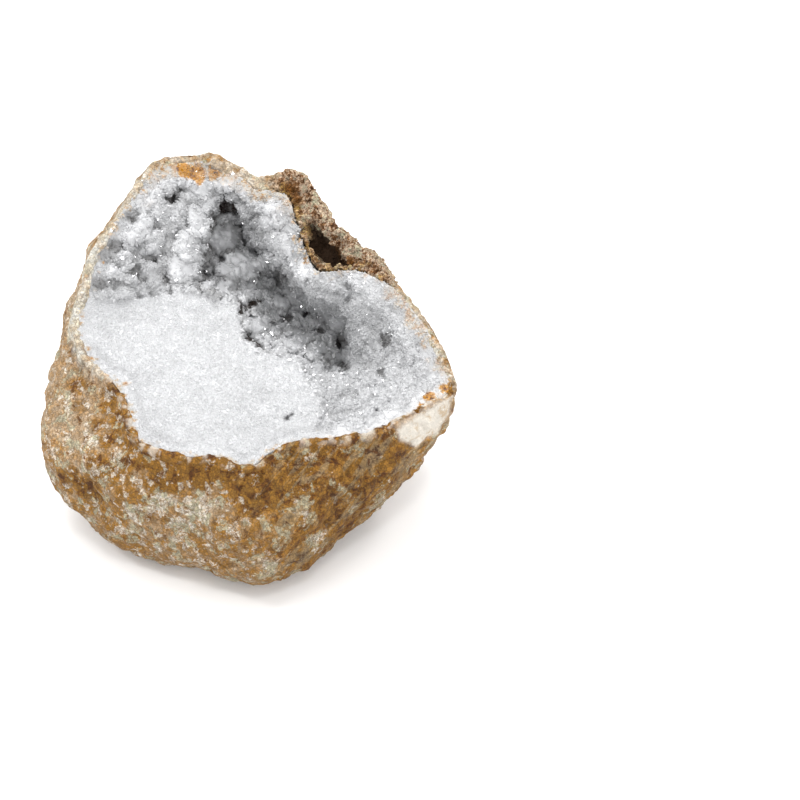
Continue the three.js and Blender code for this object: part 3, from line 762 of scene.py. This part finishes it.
class GEODE_OT_limestone(bpy.types.Operator):
    """Makes the rough weathered limestone shell"""

    bl_idname = "geode.limestone"
    bl_label = "Limestone shell"

    def execute(self, context):
        settings = context.scene.geode_limestone
        shell = merged_copy("rock_shell", "limestone_shell")
        mesh = shell.data
        # The faces under the crystals are hidden and stay coarse.
        centre, outwards = face_outlook(mesh)
        hidden = (surface_distance("quartz_crust", centre) < FACES_TOUCH) & (outwards < -0.3)
        subdivide_faces(shell, ~hidden, 7)
        points = coordinates(mesh)
        resting = points[:, 2] < 0.01 * MM
        crust = merged_copy("quartz_crust", "crust_for_rim")
        rim_line = rim_points(crust.data, crust_back(crust.data))
        bpy.data.objects.remove(crust)
        from_rim = nearest_distance(rim_line, points)
        lining = (surface_distance("quartz_crust", points) < POINTS_TOUCH) & (from_rim > 1.5)
        smooth_vertices(shell, ~lining & ~resting, 10)
        points = coordinates(mesh)
        normals = vertex_normals(mesh)
        across, up, out = mouth_of(points)
        facing = normals @ MOUTH_AXES[2]
        free = (~resting & ~lining).astype(float)
        # The wide broken edge at the back is spongy, with an open hollow that is sunk and painted
        # near-black as shade.
        spongy = wide_edge(across, up) * smooth(facing, -0.15, 0.3)
        spongy *= smooth(15 - from_rim, 0, 3) * free
        # Knobs of two sizes cover the rock, some of them higher than others.
        rng = np.random.default_rng(5)
        big = spread_seeds(points, free, 900, 3.0, rng)
        big_height, _ = round_lumps(points, big, rng.uniform(1.4, 3.2, len(big)))
        small = spread_seeds(points, free * (1 + 3 * spongy), 5200, 0.9, rng)
        small_height, owner = round_lumps(points, small, rng.uniform(0.6, 1.4, len(small)))
        raised = np.where(owner >= 0, rng.random(len(small))[owner], 0.0)
        rise = (big_height - 1.6) * 0.2 + (small_height - 0.6) * 0.3 * (0.6 + 0.7 * raised)
        rise += noise_at(points, 8, 1.7, 2) * 1.1 + noise_at(points, 1.3, 8.3, 2) * 0.35
        pits = cells_at(points, 2.6, 4.4)
        pitted = smooth(noise_at(points, 9, 5.5), -0.05, 0.15)
        rise -= 0.9 * smooth(0.45 - pits, 0, 0.35) * pitted
        holes = cells_at(points, 1.7, 9.1)
        rise -= spongy * 1.5 * smooth(0.55 - holes, 0, 0.35)
        in_hollow = inside_by(EDGE_HOLLOW, across, up) + 1.2 * noise_at(points, 1.8, 6.6)
        hollow = smooth(in_hollow, -0.5, 1.2) * spongy
        # Ledges follow the bedding, on the near right side.
        streaky = smooth(across, -6, 16) * smooth(-up, 5, 15)
        along = points @ BEDDING_ALONG * BEDDING_STRETCH
        bedding = np.stack([along, points @ BEDDING_ASIDE, 0 * across], axis=1)
        rise += 2.2 * noise_at(bedding, 5, 3.7, 3) * streaky
        rise -= hollow * 4.5
        rise += 0.5 * (1 - smooth(from_rim, 1, 4)) * (1 - spongy)
        moved = points + normals * (rise * free * MM)[:, None]
        moved[:, 2] = np.maximum(moved[:, 2], 0)
        set_coordinates(mesh, np.clip(moved, *np.array(CAD_BOX)))
        # Ochre lies in patches, in a band near the rim, round the white lumps and on the hidden side.
        band = (1 - smooth(from_rim + 6 * noise_at(points, 6, 2.2), 4, 9)) * smooth(-up, 6, 16)
        shift = 4.5 * noise_at(points, 5, 14.2, 3)
        ochre = np.maximum(patches_at(OCHRE_PATCHES, across + shift, up - shift), band * 0.7)
        round_lump = [(x, y, 1.9 * radius) for x, y, radius in WHITE_LUMPS]
        seams = patches_at(round_lump, across, up) * smooth(-across, 12, 20)
        hidden_side = smooth(-facing, 0, 0.3) * smooth(noise_at(points, 24, 3.3, 3), 0.0, 0.2)
        ochre = np.maximum(ochre, np.maximum(0.8 * seams, 0.9 * hidden_side))
        yellow = (1 - smooth(from_rim + 6 * noise_at(points, 3, 7.3, 2), 0.5, 4.5)) * spongy
        cream = smooth(inside_by(CREAM_FACE, across, up), -0.8, 0.8) * smooth(out, 8, 14)
        # A thin pale lip runs along the rim at the sides and the back.
        thin_rim = smooth(up, -8, 4) * (1 - spongy)
        speckle = noise_at(points, 2.5, 3.9, 2)
        left_side = smooth(-across, 28, 36)
        lip = (1 - smooth(from_rim + 4 * speckle, 1 + 2 * left_side, 3 + 3 * left_side)) * thin_rim
        lip *= smooth(facing, -0.3 - left_side, 0.3 - left_side) * (0.8 + 2 * speckle)
        lip *= 1 - 0.6 * smooth(up, 38, 44) * smooth(across, -28, -22)
        top_lip = 0.5 * (1 - smooth(from_rim + 9 * speckle, 2, 5)) * smooth(up, 36, 44) * (1 - spongy)
        lip = np.maximum(lip, top_lip)
        beside_rim = smooth(noise_at(points, 2.6, 18.1, 2), 0.03, 0.12) * (1 - smooth(from_rim, 1, 3))
        beside_rim *= up < 0
        values = (
            ochre,
            patches_at(PALE_PATCHES, across + shift, up + shift) * (1 - 0.6 * ochre),
            np.clip((raised - 0.45) * 2, -0.6, 1) * smooth(small_height, 0.2, 0.9),
            streaky,
            # Painted shade, darker towards the bottom.
            smooth(-up, 20, 34),
            spongy,
            yellow * smooth(noise_at(points, 3.4, 9.9, 2), -0.14, 0.06),
            patches_at(BURNT_EDGE, across, up),
            hollow,
            np.clip(np.maximum(cream, 0.8 * beside_rim * (1 - thin_rim)), 0, 1),
            np.clip(lip * (1 - spongy), 0, 1),
            patches_at(WHITE_LUMPS, across + 0.5 * shift, up + 0.5 * shift),
        )
        for name, value in zip(LIMESTONE_VALUES, values):
            keep_value(mesh, name, value)
        mesh.materials.append(limestone_material(settings))
        only(shell)
        bpy.ops.object.shade_smooth()
        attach(shell, "root")
        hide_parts("rock_shell")
        return {"FINISHED"}


def crust_free(mesh, points, from_rim):
    """Which points of the crust are in the open hollow and not against the limestone."""
    back = crust_back(mesh)
    behind = vertices_of(mesh, back) & ~vertices_of(mesh, ~back)
    return ((surface_distance("rock_shell", points) > POINTS_TOUCH) | (from_rim < 2)) & ~behind


def crust_relief(points, from_rim, free):
    """How far the crust's big forms stand forward, how grey and how brown they are, partly as painted
    shade, and how smooth they are.
    """
    mound, cave, walls, bowl = quartz_regions(points)
    across, up, out = mouth_of(points)
    inner = smooth(from_rim, 0.5, 5) * free
    # The cave, the walls and the bowl are greyer than the mound, partly as deeper quartz and partly as
    # painted shade.
    shade = 0.27 * cave + 0.35 * walls + (0.24 + 0.05 * smooth(-up, -2, 6)) * bowl
    stain = np.zeros(len(points))
    calm = np.zeros(len(points))
    # The mound ends in a crest over the cave.
    drop = MOUND_DROP_NEAR + (MOUND_DROP_FAR - MOUND_DROP_NEAR) * smooth(up, MOUND_DROP_FROM, MOUND_DROP_TO)
    beside = ragged_edge(MOUND, across, up)
    crest = MOUND_OUT + MOUND_SLOPE * up - drop - MOUND_STEEPNESS * np.maximum(-beside, 0)
    forward = np.clip(crest - out, 0, CLIFF_HEIGHT) * inner
    in_cave = ragged_edge(CAVE, across, up)
    deep = (2 + 3.5 * (1 - smooth(in_cave, 2, 7))) * smooth(in_cave, -0.3, 1.2)
    forward -= deep * inner * (forward < 0.5)
    # Rounded lumps stand out, paler partly as painted highlight, with a ring of painted shade round those
    # in the cave.
    bent_across = across + 1.6 * noise_at(points, 4, 12.5, 2)
    bent_up = up + 1.6 * noise_at(points, 4, 15.5, 2)
    for x, y, half_width, half_height, height, pale in LUMPS:
        near = np.clip(1 - ((bent_across - x) / half_width) ** 2 - ((bent_up - y) / half_height) ** 2, 0, 1)
        forward += height * np.sqrt(near) * inner * (1 - mound)
        shade -= pale * smooth(near, 0, 0.7) * (1 - mound)
        painted_shade_ring = smooth(near, 0, 0.12) * (1 - smooth(near, 0.2, 0.5))
        shade += 0.32 * painted_shade_ring * cave
        calm = np.maximum(calm, smooth(near, 0.05, 0.4) * cave * (1 - 1.5 * pale))
        calm = np.maximum(calm, smooth(near, 0.05, 0.6) * walls * 1.5 * pale)
    # The cave's left edge is in shade.
    left_edge = (smooth(in_cave, -0.3, 0.5) - smooth(in_cave, 1.2, 2.6)) * smooth(-across, 6, 9)
    shade += 0.35 * left_edge
    # Each pit is sunk, with painted shade in it and a near-black brown that is partly stain and partly
    # painted shade.
    for x, y, radius, depth, painted_darkness, brown in PITS:
        far = np.hypot(across - x, up - y) / radius + 0.6 * noise_at(points, 1.8, x + y)
        sunk = (1 - smooth(far, 0.45, 1.15)) * (1 - mound * (beside > 2) * (x < 9))
        forward -= depth * sunk * inner
        shade = np.maximum(shade, shade + (1 - shade) * painted_darkness * sunk)
        stain = np.maximum(stain, brown * smooth(sunk, 0.25, 0.8) * painted_darkness)
    # A gap parts the mound from the cave's near end: it is sunk, and near-black shade is painted into it.
    gap = smooth(-beside, -0.1, 0.4) * (1 - smooth(-beside, 1.1, 2.4)) * smooth(in_cave, -1, 0.5)
    gap *= smooth(across, -4.5, -2.5) * (1 - smooth(across, 3.5, 5.5))
    gap *= smooth(np.hypot(across - 2.1, up - 11.2), 3, 4)
    forward -= 5 * gap * inner
    shade = np.maximum(shade, gap)
    stain = np.maximum(stain, 0.7 * gap)
    return forward, shade, stain, calm


class GEODE_OT_crust(bpy.types.Operator):
    """Makes the lumpy ground that the quartz crystals stand on"""

    bl_idname = "geode.crust"
    bl_label = "Quartz crust"

    def execute(self, context):
        settings = context.scene.geode_quartz
        crust = merged_copy("quartz_crust", "quartz_crust_bed")
        mesh = crust.data
        back = crust_back(mesh)
        rim_line = rim_points(mesh, back)
        smooth_vertices(crust, ~vertices_of(mesh, back), 5)
        subdivide_faces(crust, ~back, 6)
        points = coordinates(mesh)
        from_rim = nearest_distance(rim_line, points)
        free = crust_free(mesh, points, from_rim)
        smooth_vertices(crust, free & (from_rim > 0.4), 10)
        points = coordinates(mesh)
        # Where the relief stretches the faces, they are made finer first.
        forward = crust_relief(points, from_rim, free)[0]
        moved = points + MOUTH_AXES[2] * (forward * MM)[:, None]
        stretched = longest_edge(moved, corners_of(mesh)) > LONGEST_EDGE
        subdivide_faces(crust, stretched & ~crust_back(mesh), 2)
        points = coordinates(mesh)
        from_rim = nearest_distance(rim_line, points)
        free = crust_free(mesh, points, from_rim)
        mound, cave, walls, bowl = quartz_regions(points)
        across, up, out = mouth_of(points)
        face = free.astype(float)
        inner = smooth(from_rim, 0.5, 5) * face
        beside = ragged_edge(MOUND, across, up)
        in_cave = ragged_edge(CAVE, across, up)
        forward, shade, stain, calm = crust_relief(points, from_rim, free)
        moved = points + MOUTH_AXES[2] * (forward * MM)[:, None]
        set_coordinates(mesh, moved)
        # The step between the solid's mound and the crest is evened out.
        smooth_vertices(crust, (beside > 0.3) & (beside < 4.5) & (in_cave > -2) & free, 14)
        moved = coordinates(mesh)
        normals = vertex_normals(mesh)
        # Round knobs of two sizes, a little bent, cover the walls, the cave and the bowl.
        lumpy = np.clip(walls + cave + 0.6 * bowl, 0, 1) * inner
        rng = np.random.default_rng(7)
        big = spread_seeds(moved, lumpy + 1e-6, 420, 3, rng)
        bend = np.stack([noise_at(moved, 3, seed, 2) for seed in (21.5, 24.5, 27.5)], axis=1) * 2.2 * MM
        big_height, _ = round_lumps(moved + bend, big, rng.uniform(1.8, 3.6, len(big)))
        small = spread_seeds(moved, (lumpy + 0.7 * bowl) * inner + 1e-6, 2200, 1.0, rng)
        small_height, _ = round_lumps(moved + bend, small, rng.uniform(0.7, 1.3, len(small)))
        wobble = noise_at(moved, 6, 0.4, 3)
        rise = (big_height - 1.2) * np.clip(0.8 * walls + 0.6 * cave + 0.35 * bowl, 0, 1)
        rise += (small_height - 0.5) * (0.3 * walls + 0.4 * cave + 0.45 * bowl)
        rise *= 1 - 0.95 * calm
        rise += wobble * (1.8 * bowl + 0.8 * mound) + noise_at(moved, 1.2, 7.7, 2) * 0.25
        # Between the knobs shade is painted into the quartz.
        low = 1 - smooth(big_height, 0.2, 1.6)
        shade += low * (0.16 * walls + 0.16 * cave + 0.1 * bowl) * (1 - calm)
        low = 1 - smooth(small_height, 0.1, 0.7)
        shade += low * (0.05 * walls + 0.05 * cave + 0.04 * bowl) * (1 - calm)
        shade += noise_at(moved, 9, 5.2, 2) * (0.4 * walls + 0.22 * bowl)
        shade += (0.05 + 0.25 * noise_at(moved, 10, 2.2, 3)) * mound
        # A smooth chalky band runs along the near right rim.
        ragged = noise_at(moved, 3, 11.2, 3)
        chalk_band = 1 - smooth(from_rim + 5 * ragged, 0.8, 5)
        chalk_band *= smooth(across, 14, 22) * smooth(-up, -4, 4)
        shade += (0.06 - shade) * chalk_band
        rise *= 1 - 0.6 * chalk_band
        moved += normals * (rise * MM * inner)[:, None]
        # At the thin parts of the rim the quartz spills over the edge of the shell.
        away = unit(moved / MM - HEART)
        spill = (1 - smooth(from_rim, 0.2, 2.5)) * face * 1.5 * (1 - 0.7 * wide_edge(across, up))
        thin = smooth(up + 0.6 * np.maximum(np.maximum(-across - 10, across - 36), 0), -6, 8)
        spill *= 0.55 + 0.45 * thin
        moved += (away * spill[:, None] + MOUTH_AXES[2] * (0.3 * spill)[:, None]) * MM
        set_coordinates(mesh, np.clip(moved, *np.array(CAD_BOX)))
        # Rust stains the quartz in spots, along the top and right rim, and in specks.
        burnt = patches_at(RUSTY_QUARTZ, across + 1.8 * ragged, up + 1.8 * ragged)
        burnt = smooth(burnt, 0.1, 0.5) * smooth(out, -15, -8)
        top_rim = 0.55 * (1 - smooth(from_rim + 6 * ragged, 0.8, 3))
        top_rim *= smooth(up, 38, 45) * smooth(across, -30, -22)
        right_rim = 0.5 * (1 - smooth(from_rim + 6 * ragged, 0.5, 2.2))
        right_rim *= smooth(across, 32, 40) * smooth(up, -10, -4)
        top_rim = np.maximum(top_rim, right_rim)
        specks = 1 - smooth(from_rim + 5 * noise_at(moved, 1.6, 17.3, 2), -0.3, 0.5)
        specks *= 1 - 0.6 * smooth(across, 14, 22)
        rusty = np.maximum(np.maximum(burnt, top_rim * smooth(out, -15, -8)), 0.8 * specks)
        keep_value(mesh, "shade", np.clip(shade, 0, 1))
        keep_value(mesh, "stain", np.clip(stain, 0, 1))
        keep_value(mesh, "tint", np.full(len(points), 0.5))
        keep_value(mesh, "face", face * (1 - 0.6 * chalk_band) * (1 - 0.7 * calm))
        keep_value(mesh, "rusty", rusty)
        keep_value(mesh, "burnt", burnt)
        mesh.materials.append(quartz_material("milky_quartz", quartz_finish(settings), 0.75))
        only(crust)
        bpy.ops.object.shade_smooth()
        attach(crust, "root")
        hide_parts("quartz_crust")
        return {"FINISHED"}


def point_shape(sides, prism, tip):
    """A closed crystal of unit radius: a sunken foot, a prism if it has one, and a pyramid or flat top."""
    angles = [2 * math.pi * i / sides for i in range(sides)]
    heights = [-0.6, prism] if prism else [-0.5]
    verts = [(math.cos(a), math.sin(a), z) for z in heights for a in angles]
    faces = [(0, i + 1, i) for i in range(1, sides - 1)]
    top = len(verts) - sides
    for i in range(sides):
        j = (i + 1) % sides
        if prism:
            faces += [(i, j, top + j), (i, top + j, top + i)]
        if tip:
            faces.append((top + i, top + j, top + sides))
    if tip:
        verts.append((0, 0, prism + tip))
    else:
        faces += [(top, top + i, top + i + 1) for i in range(1, sides - 1)]
    return np.array(verts), np.array(faces)


def mirror_axes(spots, normals, eye, lamps, rng):
    """The axis that turns the flat top of each crystal so that it mirrors one of the lamps to the eye."""
    view = unit(eye - spots)
    halves = np.array([unit(view + unit(np.array(lamp) - spots)) for lamp in lamps])
    score = (halves * normals).sum(2) + 0.4 * rng.random(halves.shape[:2])
    return halves[score.argmax(0), np.arange(len(spots))]


def scatter_pieces(
    name, bed, material, weights, count, size, shape, lean, stretch, carried, rng, eye=None,
):
    """Scatters small closed shapes over the bed by weight, each with its own size, turn and lean.

    They are one mesh, and take the carried values of the ground that they stand on. With an eye, each
    mirrors a lamp to it.
    """
    mesh = bed.data
    points = coordinates(mesh)
    normals = vertex_normals(mesh)
    corners = corners_of(mesh)
    a, b, c = points[corners[:, 0]], points[corners[:, 1]], points[corners[:, 2]]
    area = np.linalg.norm(np.cross(b - a, c - a), axis=1)
    chance = area * weights[corners].mean(axis=1)
    picked = rng.choice(len(corners), count, p=chance / chance.sum())
    share = rng.random((count, 2))
    flip = share.sum(1) > 1
    share[flip] = 1 - share[flip]
    u, v = share[:, :1], share[:, 1:]
    spot = a[picked] * (1 - u - v) + b[picked] * u + c[picked] * v
    axis = normals[corners[picked]].mean(axis=1)
    if eye is not None:
        axis = mirror_axes(spot, axis, eye, SPARK_LAMPS.values(), rng)
    axis = unit(axis + rng.normal(0, lean, (count, 3)))
    side = unit(np.cross(axis, rng.normal(0, 1, (count, 3))))
    third = np.cross(axis, side)
    # Most are near the given width, and none is more than 2.2 times as wide.
    radius = np.minimum(0.5 * size * np.exp(rng.normal(0, 0.3, count)), 1.1 * size)
    tall = radius * rng.uniform(*stretch, count)
    flat = rng.uniform(0.7, 1.0, count)
    verts, faces = shape
    made = (
        spot[:, None]
        + side[:, None] * (verts[None, :, 0:1] * radius[:, None, None])
        + third[:, None] * (verts[None, :, 1:2] * (radius * flat)[:, None, None])
        + axis[:, None] * (verts[None, :, 2:3] * tall[:, None, None])
    )
    made = np.clip(made, *np.array(CAD_BOX))
    all_faces = faces[None] + (np.arange(count) * len(verts))[:, None, None]
    joined = bpy.data.meshes.new(name)
    joined.from_pydata(made.reshape(-1, 3).tolist(), [], all_faces.reshape(-1, 3).tolist())
    joined.update()
    for key in carried:
        values = value_of(mesh, key)[corners[picked]].mean(axis=1)
        keep_value(joined, key, np.repeat(values, len(verts)))
    tint = rng.random(count) if eye is None else np.ones(count)
    keep_value(joined, "tint", np.repeat(tint, len(verts)))
    piece = bpy.data.objects.new(name, joined)
    bpy.context.scene.collection.objects.link(piece)
    joined.materials.append(material)
    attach(piece, "root")
    return piece


class GEODE_OT_crystals(bpy.types.Operator):
    """Grows the quartz points on the mound, the walls, the cave and the right bowl"""

    bl_idname = "geode.crystals"
    bl_label = "Quartz points"

    def execute(self, context):
        settings = context.scene.geode_quartz
        bed = bpy.data.objects["quartz_crust_bed"]
        mound, cave, walls, bowl = quartz_regions(coordinates(bed.data))
        face = value_of(bed.data, "face")
        grain = point_shape(4, 0, 1.2)
        point = point_shape(6, 0, 1.3)
        # The crystals carry the ground's grey and painted shade, its stains and its rust.
        keys = ("shade", "stain", "rusty", "burnt")
        clear = quartz_material("quartz_points", bpy.data.node_groups["quartz_finish"], 0)
        rows = [
            ("mound_sugar", mound, settings.sugar_count, settings.sugar_size, grain, 0.35, (0.4, 0.9), 11),
            ("wall_crystals", walls, settings.wall_count, settings.wall_size, point, 0.4, (0.4, 1.0), 12),
            ("cave_crystals", cave, settings.cave_count, settings.cave_size, point, 0.4, (0.4, 1.0), 13),
            ("bowl_crystals", bowl, settings.bowl_count, settings.bowl_size, point, 0.3, (0.3, 0.8), 14),
        ]
        for name, region, count, size, shape, lean, stretch, seed in rows:
            rng = np.random.default_rng(seed)
            weights = region * face
            made = scatter_pieces(name, bed, clear, weights, count, size, shape, lean, stretch, keys, rng)
        # Here and there a crystal face mirrors a lamp.
        plate = point_shape(6, 0.5, 0)
        eye = np.array(camera_place(context.scene.geode_stage))
        weights = (walls + 1.4 * cave + 1.2 * bowl + 0.15 * mound) * face
        made = scatter_pieces(
            "glinting_crystals", bed, clear, weights, settings.glint_count, settings.glint_size,
            plate, 0.01, (0.8, 1.2), keys, np.random.default_rng(15), eye,
        )
        return {"FINISHED"}


class GEODE_OT_crumbs(bpy.types.Operator):
    """Strews the crumbs of limestone on the broken edge at the back"""

    bl_idname = "geode.crumbs"
    bl_label = "Limestone crumbs"

    def execute(self, context):
        settings = context.scene.geode_limestone
        bed = bpy.data.objects["limestone_shell"]
        weights = value_of(bed.data, "brown") * (1 - 0.6 * value_of(bed.data, "hollow"))
        crumb = point_shape(4, 0.4, 0.5)
        made = scatter_pieces(
            "limestone_crumbs", bed, bed.data.materials[0], weights, settings.crumb_count,
            settings.crumb_size, crumb, 1.2, (0.5, 1.1), LIMESTONE_VALUES, np.random.default_rng(21),
        )
        return {"FINISHED"}


def camera_place(settings):
    across, up, out = (Vector(axis) for axis in MOUTH_AXES)
    looked_at = Vector(MOUTH_ORIGIN) * MM + across * CAMERA_ACROSS + up * CAMERA_UP
    return looked_at + out * settings.distance


class GEODE_OT_stage(bpy.types.Operator):
    """Sets the pale floor, the soft light and the camera"""

    bl_idname = "geode.stage"
    bl_label = "Stage"

    def execute(self, context):
        settings = context.scene.geode_stage
        bpy.ops.object.select_all(action="DESELECT")
        bpy.ops.mesh.primitive_plane_add(size=6, location=(0, 0, 0))
        floor = context.object
        floor.name = "floor"
        material, _, shader = new_material("white_paper")
        shader.inputs["Base Color"].default_value = (0.93, 0.93, 0.93, 1)
        shader.inputs["Roughness"].default_value = 0.9
        floor.data.materials.append(material)
        world = bpy.data.worlds.new("soft_sky")
        world.use_nodes = True
        background = world.node_tree.nodes["Background"]
        background.inputs["Color"].default_value = (1, 1, 1, 1)
        background.inputs["Strength"].default_value = settings.sky
        context.scene.world = world
        self.lamp("key", (-0.15, 0.3, 0.95), 0.8, settings.key)
        self.lamp("fill", (0.2, -0.8, 0.6), 0.8, settings.fill)
        for name, place in SPARK_LAMPS.items():
            self.lamp(name, place, 0.15, settings.spark)
        across, up, out = (Vector(axis) for axis in MOUTH_AXES)
        place = camera_place(settings)
        camera = bpy.data.cameras.new("camera")
        camera.sensor_width = 36
        camera.lens = settings.lens
        camera.clip_start = 0.01
        seen = bpy.data.objects.new("camera", camera)
        seen.matrix_world = Matrix.Translation(place) @ Matrix((across, up, out)).transposed().to_4x4()
        context.scene.collection.objects.link(seen)
        context.scene.camera = seen
        context.scene.view_settings.view_transform = "Standard"
        return {"FINISHED"}

    def lamp(self, name, place, size, power):
        light = bpy.data.lights.new(name, "AREA")
        light.shape = "DISK"
        light.size = size
        light.energy = power
        lamp = bpy.data.objects.new(name, light)
        place = Vector(place)
        lamp.location = place
        lamp.rotation_euler = (Vector((0, 0, 0.03)) - place).to_track_quat("-Z", "Y").to_euler()
        bpy.context.scene.collection.objects.link(lamp)


class GEODE_PT_panel(bpy.types.Panel):
    """Lists the geode's pieces and their settings"""

    bl_label = "Geode half"
    bl_idname = "GEODE_PT_panel"
    bl_space_type = "VIEW_3D"
    bl_region_type = "UI"
    bl_category = "Geode"

    def draw(self, context):
        for operator in OPERATORS:
            self.layout.operator(operator.bl_idname)
        for group in ("geode_limestone", "geode_quartz", "geode_stage"):
            box = self.layout.box()
            settings = getattr(context.scene, group)
            for key in settings.__annotations__:
                box.prop(settings, key)


OPERATORS = (GEODE_OT_limestone, GEODE_OT_crumbs, GEODE_OT_crust, GEODE_OT_crystals, GEODE_OT_stage)
CLASSES = (LimestoneSettings, QuartzSettings, StageSettings, *OPERATORS, GEODE_PT_panel)


def register():
    for cls in CLASSES:
        bpy.utils.register_class(cls)
    bpy.types.Scene.geode_limestone = PointerProperty(type=LimestoneSettings)
    bpy.types.Scene.geode_quartz = PointerProperty(type=QuartzSettings)
    bpy.types.Scene.geode_stage = PointerProperty(type=StageSettings)


def unregister():
    del bpy.types.Scene.geode_stage
    del bpy.types.Scene.geode_quartz
    del bpy.types.Scene.geode_limestone
    for cls in reversed(CLASSES):
        bpy.utils.unregister_class(cls)


def main():
    register()
    bpy.ops.geode.limestone()
    bpy.ops.geode.crumbs()
    bpy.ops.geode.crust()
    bpy.ops.geode.crystals()
    bpy.ops.geode.stage()


if __name__ == "__main__":
    main()
